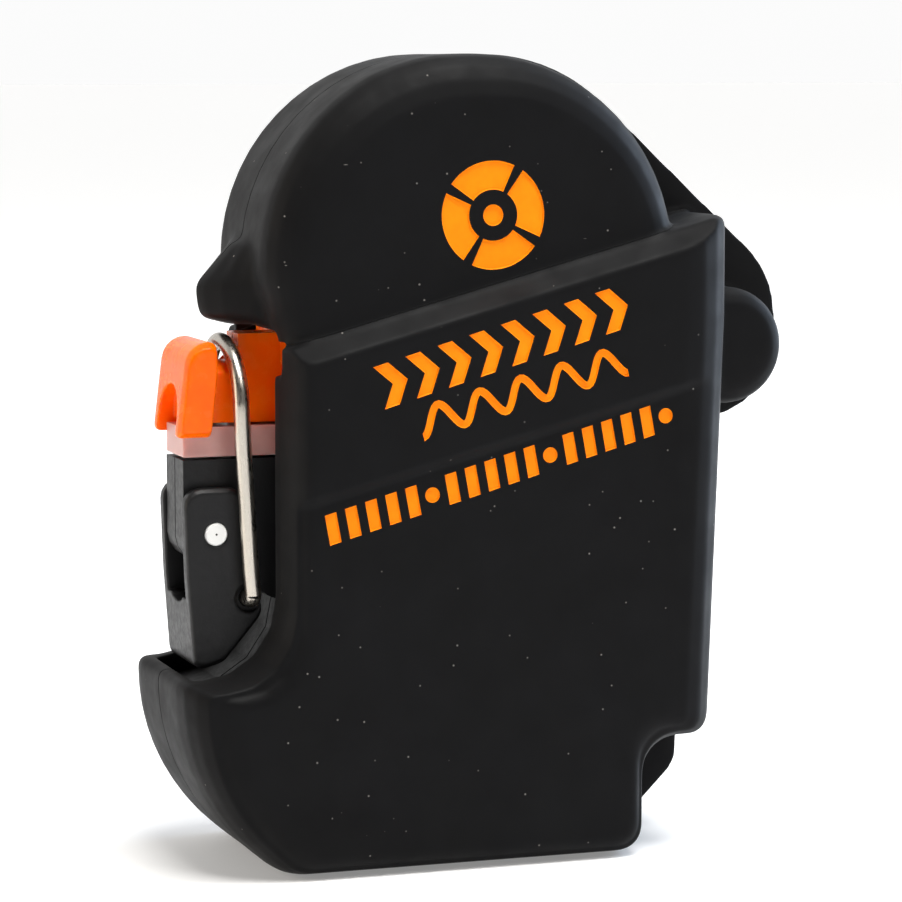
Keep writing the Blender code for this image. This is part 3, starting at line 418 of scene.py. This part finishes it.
def clear_lens():
    look = plain_plastic("lens_clear", (0.82, 0.85, 0.86), 0.12, 0.03, 0.003)
    shader = look.node_tree.nodes["Principled BSDF"]
    shader.inputs["Transmission Weight"].default_value = 0.85
    shader.inputs["IOR"].default_value = 1.5
    return look


SILICONE = silicone()
BLACK = grained_black()
ORANGE = translucent_orange()
SEAL = milky_seal()
STEEL = drawn_steel()
WHITE = plain_plastic("nylon_white", (0.84, 0.84, 0.82), 0.4, 0.05)
INK = inlay_orange()
LOOKS = {
    "silicone_black": SILICONE,
    "plastic_black": BLACK,
    "plastic_orange": ORANGE,
    "seal_milky": SEAL,
    "steel": STEEL,
    "nylon_white": WHITE,
    "button_red": plain_plastic("button_red", (0.6, 0.02, 0.012), 0.4),
    "button_yellow": plain_plastic("button_yellow", (0.8, 0.47, 0.02), 0.4),
    "lens_clear": clear_lens(),
    "board_green": plain_plastic("board_green", (0.02, 0.15, 0.06), 0.45, 0.3),
    "chip_black": plain_plastic("chip_black", (0.03, 0.03, 0.03), 0.45, 0.2),
    "ceramic": plain_plastic("ceramic", (0.6, 0.54, 0.4), 0.5, 0.08),
    "contact_plated": plain_plastic("contact_plated", (0.8, 0.66, 0.38), 0.3, 0.08),
    "cell_wrap": plain_plastic("cell_wrap", (0.04, 0.11, 0.3), 0.32, 0.2),
}


# The pouch

def slant(x):
    return SLANT_AT[1] + (x - SLANT_AT[0]) * math.tan(SLANT)


def around_hinge(radius, angle):
    return (HINGE[0] + radius * math.cos(angle), HINGE[1] + radius * math.sin(angle))


def parting(back, lift):
    """The line between body and hood, from the left to where it leaves the pouch."""
    turn_r = (slant(HINGE[0]) - HINGE[1]) * math.cos(SLANT) + lift
    turn_from = math.pi / 2 + SLANT
    rise = lift / math.cos(SLANT)
    points = [(CLEAR_LEFT, slant(CLEAR_LEFT) + rise)]
    if not back:
        steps = 48
        points += [around_hinge(turn_r, turn_from * (1 - k / steps)) for k in range(steps + 1)]
        return points + [(HINGE[0] + turn_r, CLEAR_BELOW)]
    leave = EYE_FROM - lift / turn_r
    points.append(around_hinge(turn_r / math.cos(leave - turn_from), leave))
    steps = 60
    eye_r = EYE_R + lift
    points += [
        around_hinge(eye_r, leave + (1.5 * math.pi - leave) * k / steps) for k in range(steps + 1)
    ]
    return points + [(HINGE[0], CLEAR_BELOW)]


def region(name, back, hood):
    """The space of one of the four pouch pieces."""
    lift = SPLIT_HALF if hood else -SPLIT_HALF
    line = parting(back, lift)
    if hood:
        outline = line + [
            (CLEAR_RIGHT, CLEAR_BELOW), (CLEAR_RIGHT, CLEAR_ABOVE), (CLEAR_LEFT, CLEAR_ABOVE)
        ]
    else:
        outline = line + [(CLEAR_LEFT, CLEAR_BELOW)]
    near, far = (SEAM_HALF, CLEAR_DEPTH) if back else (-CLEAR_DEPTH, -SEAM_HALF)
    return prism(name, outline, near, far)


def step_the_front(skin):
    """Sinks the lower part of the front below a soft slanted step."""
    points = np.empty(len(skin.data.vertices) * 3)
    skin.data.vertices.foreach_get("co", points)
    points = points.reshape(-1, 3)
    x, y, z = points.T / MM
    line = STEP_AT[1] + (x - STEP_AT[0]) * STEP_SLOPE
    below = (line - z) * math.cos(math.atan(STEP_SLOPE))
    skin_depth = smoothstep(-FRONT - STEP_SKIN_NONE, -FRONT - STEP_SKIN_FULL, -y)
    sunk = smoothstep(-0.1, STEP_WIDE, below) * skin_depth
    sunk *= 1.0 - smoothstep(STEP_ENDS_FROM, STEP_ENDS_AT, x)
    points[:, 1] += sunk * STEP_DEEP * MM
    skin.data.vertices.foreach_set("co", points.ravel())
    skin.data.update()


def back_lip():
    """Fills in behind the top edge of the body's back, which stands out past the hood."""
    left, right = -25.0, 18.0
    below, above = 2.4, 0.6
    inward, outward = 1.6, 1.2
    outline = [
        (left, slant(left) - below), (right, slant(right) - below),
        (right, slant(right) + above), (left, slant(left) + above),
    ]
    hood_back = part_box("pouch_hood_back")[1].y / MM
    return prism("back_lip", outline, hood_back - inward, hood_back + outward)


def pouch():
    """One smooth skin from the four CAD solids, parted again at the seam and round the hood."""
    parts = ("pouch_body_front", "pouch_body_back", "pouch_hood_front", "pouch_hood_back")
    skin = moulded("skin", parts, SKIN_VOXEL, SKIN_ROUNDS, SKIN_GROW, [back_lip()])
    step_the_front(skin)
    made = {}
    for node in parts:
        back, hood = node.endswith("back"), "hood" in node
        piece = new_object("skin_" + node[6:], skin.data.copy())
        space = region("space", back, hood)
        boolean(piece, space, "INTERSECT")
        discard(space)
        made[node] = piece
    discard(skin)
    return made


# Sunk marks on the front: plain shapes in place of any lettering

def turned_to(place, angle, points):
    c, s = math.cos(angle), math.sin(angle)
    return [(place[0] + u * c - v * s, place[1] + u * s + v * c) for u, v in points]


def chevron(u, high, wide, thick):
    """A bold arrowhead that points along the row."""
    tip = wide - thick
    return [(u, 0), (u + thick, 0), (u + thick + tip, high / 2), (u + thick, high), (u, high),
            (u + tip, high / 2)]


def bar(u, high, wide, lean=0.0):
    return [(u, 0), (u + wide, 0), (u + wide + lean, high), (u + lean, high)]


def disc(u, v, radius, steps=20):
    return [
        (u + radius * math.cos(math.tau * k / steps), v + radius * math.sin(math.tau * k / steps))
        for k in range(steps)
    ]


def wave(length, high, thick, periods, steps=96):
    """A thin line that rises and falls like a swell."""
    upper, lower = [], []
    for k in range(steps + 1):
        u = length * k / steps
        phase = math.tau * periods * k / steps
        v = high / 2 - (high - thick) / 2 * math.cos(phase)
        slope = (high - thick) / 2 * math.sin(phase) * math.tau * periods / length
        away = thick / 2 / math.hypot(1.0, slope)
        upper.append((u - slope * away, v + away))
        lower.append((u + slope * away, v - away))
    return lower + upper[::-1]


def ring_part(inner, outer, start, stop, steps=14):
    arc = [start + (stop - start) * k / steps for k in range(steps + 1)]
    return (
        [(outer * math.cos(a), outer * math.sin(a)) for a in arc]
        + [(inner * math.cos(a), inner * math.sin(a)) for a in arc[::-1]]
    )


def lifebuoy():
    """A ring in four parts with a small ring between them, on the dome."""
    inner, outer, hub = 3.1, 6.6, 1.3
    gap = math.radians(11.0)
    parts = []
    for k in range(4):
        start = math.pi / 4 + math.pi / 2 * k + gap / 2 + LIFEBUOY_TILT
        stop = math.pi / 4 + math.pi / 2 * (k + 1) - gap / 2 + LIFEBUOY_TILT
        parts.append(ring_part(inner, outer, start, stop))
    parts.append(disc(0.0, 0.0, hub, 28))
    return parts


def dish(body, outline, y):
    """A thin filled shape whose rim slopes down to a flat floor a little under the surface."""
    flat = bmesh.new()
    ring = [flat.verts.new((x * MM, y * MM, z * MM)) for x, z in outline]
    face = flat.faces.new(ring)
    flat.normal_update()
    if face.normal.y > 0:
        face.normal_flip()
    back = bmesh.ops.extrude_face_region(flat, geom=[face], use_keep_orig=True)
    moved = [v for v in back["geom"] if isinstance(v, bmesh.types.BMVert)]
    bmesh.ops.translate(flat, verts=moved, vec=(0.0, INLAY_THICK * MM, 0.0))
    for old in [f for f in back["geom"] if isinstance(f, bmesh.types.BMFace)]:
        old.normal_flip()
    bmesh.ops.inset_region(
        flat, faces=[face], thickness=INLAY_RIM * MM, depth=0.0, use_even_offset=True
    )
    bmesh.ops.translate(flat, verts=face.verts, vec=(0.0, INLAY_DROP * MM, 0.0))
    bmesh.ops.recalc_face_normals(flat, faces=flat.faces[:])
    mesh = bpy.data.meshes.new("dish")
    flat.to_mesh(mesh)
    flat.free()
    body.from_mesh(mesh)
    bpy.data.meshes.remove(mesh)


def marks(name, skin, outlines, y, rides_on):
    """Cuts the outlines into the skin and lays an orange inlay in each."""
    cutter = bmesh.new()
    inlay = bmesh.new()
    for outline in outlines:
        dish(inlay, outline, y + INLAY_UNDER)
        tool = prism("tool", outline, y - 2.0, y + MARK_DEEP)
        cutter.from_mesh(tool.data)
        discard(tool)
    tool = from_bmesh("marks_tool", cutter)
    boolean(skin, tool, "DIFFERENCE")
    discard(tool)
    made = shaded(from_bmesh(name, inlay), INK, 25.0)
    return placed(made, rides_on, "plastic_orange")


def chevron_row():
    high, wide, thick, count = 5.3, 3.75, 1.95, 8
    return [
        turned_to(CHEVRONS_AT, ROW_RISE, chevron(CHEVRON_STEP * k, high, wide, thick))
        for k in range(count)
    ]


def scale_row():
    """Slanted ticks with a round dot in place of every sixth."""
    high, wide, lean, count = 3.7, 1.5, 0.35, 18
    dot_r, dot_shift = 0.95, 0.85
    row = []
    for k in range(count):
        if k % 6 == 5:
            row.append(disc(TICK_STEP * k + dot_shift, high / 2, dot_r))
        else:
            row.append(bar(TICK_STEP * k, high, wide, lean))
    return [turned_to(SCALE_AT, SCALE_RISE, mark) for mark in row]


def front_marks(skins):
    ring = [turned_to(LIFEBUOY_AT, ROW_RISE, part) for part in lifebuoy()]
    marks("mark_lifebuoy", skins["pouch_hood_front"], ring, DOME_FRONT, "cap")
    line = wave(length=27.4, high=4.3, thick=0.95, periods=5)
    swell = [turned_to(WAVE_AT, WAVE_RISE, line)]
    body = skins["pouch_body_front"]
    marks("mark_rows", body, chevron_row() + swell, FRONT, "device")
    marks("mark_scale", body, scale_row(), FRONT + STEP_DEEP, "device")


# The latch

def tube(name, path, radius, sides=28):
    """A round wire along a smooth path, closed flat at both ends."""
    body = bmesh.new()
    points = [Vector(p) * MM for p in path]
    side = Vector((1.0, 0.0, 0.0))
    rings = []
    for k, point in enumerate(points):
        before, after = points[max(k - 1, 0)], points[min(k + 1, len(points) - 1)]
        along = (after - before).normalized()
        side = (side - along * side.dot(along)).normalized()
        other = along.cross(side)
        rings.append([
            body.verts.new(point + (side * math.cos(a) + other * math.sin(a)) * radius * MM)
            for a in (math.tau * s / sides for s in range(sides))
        ])
    for low, high in zip(rings, rings[1:]):
        for s in range(sides):
            t = (s + 1) % sides
            body.faces.new((low[s], low[t], high[t], high[s]))
    body.faces.new(rings[0][::-1])
    body.faces.new(rings[-1])
    bmesh.ops.recalc_face_normals(body, faces=body.faces[:])
    return from_bmesh(name, body)


def spline(points, steps):
    """A smooth path through points (Catmull-Rom)."""
    path = []
    ends = [points[0]] + points + [points[-1]]
    for a, b, c, d in zip(ends, ends[1:], ends[2:], ends[3:]):
        a, b, c, d = Vector(a), Vector(b), Vector(c), Vector(d)
        for k in range(steps):
            t = k / steps
            path.append(
                0.5 * (2 * b + (c - a) * t + (2 * a - 5 * b + 4 * c - d) * t * t
                       + (3 * b - a - 3 * c + d) * t ** 3)
            )
    return path + [Vector(points[-1])]


def bail():
    """The wire: arms outside the lever, and an arch over the neck of the catch."""
    low, high = (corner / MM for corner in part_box("bail_wire"))
    foot_x, foot_z = high.x - WIRE_R, low.z + WIRE_R
    half = high.y - WIRE_R
    arch_z = high.z - WIRE_R - half
    arm = [(foot_x, WIRE_FOOT_FROM, foot_z), (foot_x, WIRE_FOOT_TO, foot_z)]
    bend_steps = 6
    for k in range(bend_steps + 1):
        a = math.pi / 2 * k / bend_steps
        out, up = WIRE_BEND_R * math.sin(a), WIRE_BEND_R * (1 - math.cos(a))
        arm.append((foot_x, WIRE_BEND_AT - out, foot_z + up))
    arm += [(foot_x + lean, -half, z) for lean, z in (WIRE_ARM_LOW, WIRE_ARM_MIDDLE)]
    arm.append((WIRE_ARM_TOP[0], -half, WIRE_ARM_TOP[1]))
    arch_steps = 10
    for k in range(arch_steps + 1):
        a = math.pi / 2 * k / arch_steps
        lean = 0.5 - 0.5 * math.cos(a)
        x = WIRE_SHOULDER_X + (WIRE_TOP_X - WIRE_SHOULDER_X) * lean
        arm.append((x, -half * math.cos(a), arch_z + half * math.sin(a)))
    route = spline(arm + [(x, -y, z) for x, y, z in arm[:-1][::-1]], 4)
    made = tube("wire_bail", route, WIRE_R)
    return placed(shaded(made, STEEL), "latch_bail", "steel", "bail_wire")


def catch_root():
    """Joins the neck of the catch to the rib of the cap."""
    outline = [(-30.0, 55.4), (-28.2, 55.4), (-28.2, 63.4), (-30.0, 61.8)]
    return prism("catch_root", outline, -2.6, 2.6)


def soft_pieces():
    """Moulded pieces of the latch and the cap's rim, meshed finely."""
    for name, node, body, slot, voxel, rounds in (
        ("catch_saddle", "cap_catch", "cap", "plastic_orange", DETAIL_VOXEL, 14),
        ("lever_fork", "latch_lever", "latch_lever", "plastic_black", DETAIL_VOXEL, 8),
        ("seal_ring", "gasket", "device", "seal_milky", DETAIL_VOXEL * 1.6, 4),
    ):
        fillers = [catch_root()] if node == "cap_catch" else []
        made = moulded(name, [node], voxel, rounds, fillers=fillers)
        placed(shaded(made, LOOKS[slot], 60.0), body, slot, node)


def pin_dots():
    """A small black dot at the middle of each end of the latch pin."""
    low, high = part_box("latch_pin")
    x, z = (low.x + high.x) / 2 / MM, (low.z + high.z) / 2 / MM
    dot_radius, dot_half, stands_out = 0.13, 0.03, 0.02
    body = bmesh.new()
    for y in (low.y / MM - stands_out, high.y / MM + stands_out):
        ring = [(x + u, z + v) for u, v in disc(0.0, 0.0, dot_radius, 16)]
        spot = prism("spot", ring, y - dot_half, y + dot_half)
        body.from_mesh(spot.data)
        discard(spot)
    made = shaded(from_bmesh("pin_end_dots", body), LOOKS["chip_black"])
    return placed(made, "device", "chip_black")


def carried_nodes():
    """Every CAD node that still shows gets its procedural finish."""
    for row in frame["record"]["subparts"]:
        node = frame["nodes"][row["node"]]
        if node.hide_render:
            continue
        look = LOOKS[row["material_slot"]]
        node.data.materials.clear()
        node.data.materials.append(look)


# Stage: metres, as in the frame

FLOOR_HALF = 12.0
FLOOR_GAP = 0.00002
GLOW_FROM, GLOW_TO = 0.05, 0.8
GLOW_NEAR, GLOW_FAR = 0.24, 0.62
CAMERA_AZIMUTH = math.radians(-19.0)
CAMERA_ELEVATION = math.radians(6.3)
CAMERA_AWAY = 0.450
CAMERA_LENS = 142.8
CAMERA_SENSOR = 36.0
AIM = (0.0, 0.0, 0.050)


def floor():
    """A near-white floor that glows more with distance, so that it fades into the surround."""
    body = bmesh.new()
    bmesh.ops.create_grid(body, x_segments=8, y_segments=8, size=FLOOR_HALF)
    made = from_bmesh("floor", body)
    look = Look("floor_white", (0.80, 0.80, 0.80), 0.7)
    look.link(look.mix(look.noise(60.0, 2.0), (0.79, 0.785, 0.78), (0.81, 0.81, 0.81)), "Base Color")
    look.set("Emission Color", (1.0, 0.995, 0.985, 1.0))
    away = look.tree.nodes.new("ShaderNodeVectorMath")
    away.operation = "LENGTH"
    look.tree.links.new(look.place, away.inputs[0])
    glow = look.between(away.outputs["Value"], GLOW_FROM, GLOW_TO, GLOW_NEAR, GLOW_FAR)
    look.link(glow, "Emission Strength")
    look.set("Specular IOR Level", 0.1)
    made.data.materials.append(look.material)
    made.location.z = -FLOOR_GAP
    return made


def area_light(name, place, aim, size, power, colour):
    data = bpy.data.lights.new(name, "AREA")
    data.shape = "RECTANGLE"
    data.size, data.size_y = size
    data.energy = power
    data.color = colour
    made = bpy.data.objects.new(name, data)
    bpy.context.scene.collection.objects.link(made)
    made.location = place
    made.rotation_euler = (Vector(aim) - Vector(place)).to_track_quat("-Z", "Y").to_euler()
    return made


def lights():
    """A near-white key above, a cool light at the right, a warm one at the left, a weak front."""
    area_light("key", (0.08, -0.22, 0.85), AIM, (0.6, 0.4), 11.0, (1.0, 0.99, 0.97))
    area_light("right", (0.75, 0.15, 0.25), AIM, (0.4, 0.6), 7.0, (0.66, 0.80, 1.0))
    area_light("left", (-0.8, 0.1, 0.25), AIM, (0.5, 0.6), 2.2, (1.0, 0.86, 0.68))
    area_light("front", (0.25, -0.8, 0.9), AIM, (0.3, 0.2), 1.8, (1.0, 0.98, 0.95))


def surround():
    """A white studio: bright behind the beacon and dimmer in front of it."""
    world = bpy.data.worlds.new("studio")
    bpy.context.scene.world = world
    world.use_nodes = True
    tree = world.node_tree
    ground = tree.nodes["Background"]
    place = tree.nodes.new("ShaderNodeTexCoord").outputs["Generated"]
    split = tree.nodes.new("ShaderNodeSeparateXYZ")
    tree.links.new(place, split.inputs[0])
    share = tree.nodes.new("ShaderNodeMapRange")
    tree.links.new(split.outputs["Y"], share.inputs["Value"])
    dim_from, bright_from, dim, bright = -0.1, 0.55, 0.06, 0.97
    for socket, value in zip(("From Min", "From Max", "To Min", "To Max"),
                             (dim_from, bright_from, dim, bright)):
        share.inputs[socket].default_value = value
    tree.links.new(share.outputs["Result"], ground.inputs["Strength"])
    ground.inputs["Color"].default_value = (1.0, 1.0, 1.0, 1.0)
    bpy.context.scene.view_settings.view_transform = "Standard"


def camera():
    """The photograph's view: a long lens, a little above and to the latch side."""
    data = bpy.data.cameras.new("camera")
    made = bpy.data.objects.new("camera", data)
    bpy.context.scene.collection.objects.link(made)
    back = Vector((
        math.sin(CAMERA_AZIMUTH) * math.cos(CAMERA_ELEVATION),
        -math.cos(CAMERA_AZIMUTH) * math.cos(CAMERA_ELEVATION),
        math.sin(CAMERA_ELEVATION),
    ))
    made.location = Vector(AIM) + back * CAMERA_AWAY
    made.rotation_euler = (-back).to_track_quat("-Z", "Y").to_euler()
    data.sensor_width = CAMERA_SENSOR
    data.lens = CAMERA_LENS
    data.clip_start, data.clip_end = 0.01, 20.0
    bpy.context.scene.camera = made


def main():
    camera()
    surround()
    lights()
    floor()
    skins = pouch()
    front_marks(skins)
    for node, skin in skins.items():
        body = "cap" if "hood" in node else "device"
        placed(shaded(skin, SILICONE, 40.0), body, "silicone_black", node)
    soft_pieces()
    bail()
    pin_dots()
    carried_nodes()


main()
